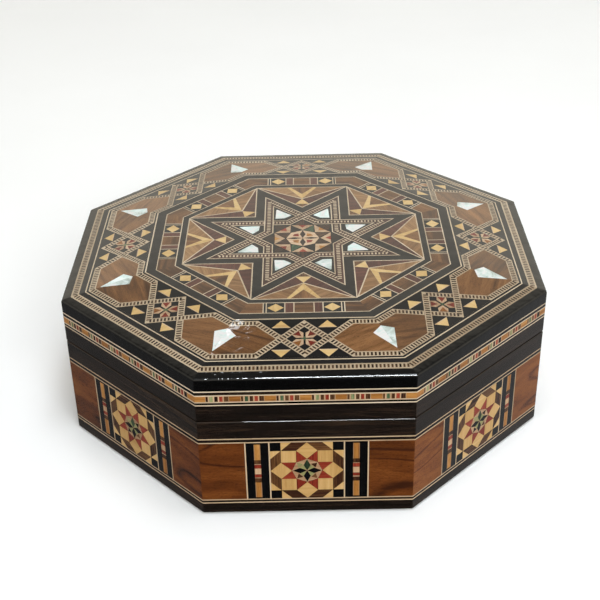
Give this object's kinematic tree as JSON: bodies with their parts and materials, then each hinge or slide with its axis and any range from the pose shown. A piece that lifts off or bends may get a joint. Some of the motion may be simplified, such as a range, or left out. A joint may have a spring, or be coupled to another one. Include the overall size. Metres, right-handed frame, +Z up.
{
  "type": "inlaid octagonal box",
  "caption": "Octagonal wooden keepsake box with a hinged, slightly domed lid, star marquetry, mother-of-pearl and lined interior.",
  "frame": {"origin": "centre of the underside, on the surface that the box stands on", "axes": "+Z up, +Y towards the hinges at the back, +X to the right when seen from the front"},
  "size_m": [0.2, 0.2, 0.0696],
  "materials": {
    "case_wood": "plain sawn and sanded",
    "black_veneer": "black-dyed veneer under gloss lacquer",
    "brown_veneer": "dark brown veneer under gloss lacquer",
    "walnut_veneer": "walnut veneer under gloss lacquer",
    "boxwood": "pale stringing under gloss lacquer",
    "lemonwood": "yellow wood tiles under gloss lacquer",
    "marquetry": "sheets of small tinted wood tiles under gloss lacquer",
    "pearl": "mother-of-pearl, polished",
    "velvet": "dark red velvet lining",
    "felt": "dark green felt",
    "hinge_brass": "brushed brass"
  },
  "bodies": {
    "base": {"base_dark_strings": "black_veneer", "base_floor": "case_wood", "base_foot_band": "brown_veneer", "base_light_strings": "boxwood", "base_top_band": "black_veneer", "base_wall_back": "case_wood", "base_wall_back_left": "case_wood", "base_wall_back_right": "case_wood", "base_wall_front": "case_wood", "base_wall_front_left": "case_wood", "base_wall_front_right": "case_wood", "base_wall_left": "case_wood", "base_wall_right": "case_wood", "base_wall_velvet": "velvet", "floor_velvet": "velvet", "hinge_base_leaves": "hinge_brass", "hinge_base_screws": "hinge_brass", "hinge_pins": "hinge_brass", "side_star_panels": "marquetry", "side_tile_strips": "marquetry", "side_walnut_panels": "walnut_veneer", "underside_felt": "felt"},
    "lid": {"border_black_band": "black_veneer", "border_ladder": "marquetry", "centre_rosette": "marquetry", "chain_ladder": "marquetry", "facet_ground": "black_veneer", "flower_petals": "marquetry", "hinge_lid_leaves": "hinge_brass", "hinge_lid_screws": "hinge_brass", "lemonwood_triangles": "lemonwood", "lid_ceiling_velvet": "velvet", "lid_dark_strings": "black_veneer", "lid_edge_band": "black_veneer", "lid_light_strings": "boxwood", "lid_lower_band": "black_veneer", "lid_mosaic_band": "marquetry", "lid_top_board": "case_wood", "lid_wall_back": "case_wood", "lid_wall_back_left": "case_wood", "lid_wall_back_right": "case_wood", "lid_wall_front": "case_wood", "lid_wall_front_left": "case_wood", "lid_wall_front_right": "case_wood", "lid_wall_left": "case_wood", "lid_wall_right": "case_wood", "lid_wall_velvet": "velvet", "pearl_darts": "pearl", "pearl_kites": "pearl", "ring_black_bands": "black_veneer", "ring_dark_tiles": "black_veneer", "ring_diamond_tiles": "marquetry", "ring_walnut_tiles": "walnut_veneer", "star_ground": "black_veneer", "star_ladder": "marquetry", "star_triangles": "marquetry", "top_light_strings": "boxwood", "walnut_cartouches": "walnut_veneer"}
  },
  "joints": [
    {"name": "lid_hinge", "type": "hinge", "parent": "base", "child": "lid", "pos_m": [0, 0.097, 0.0452], "axis": [-1, 0, 0], "range_deg": [0, 98]}
  ]
}
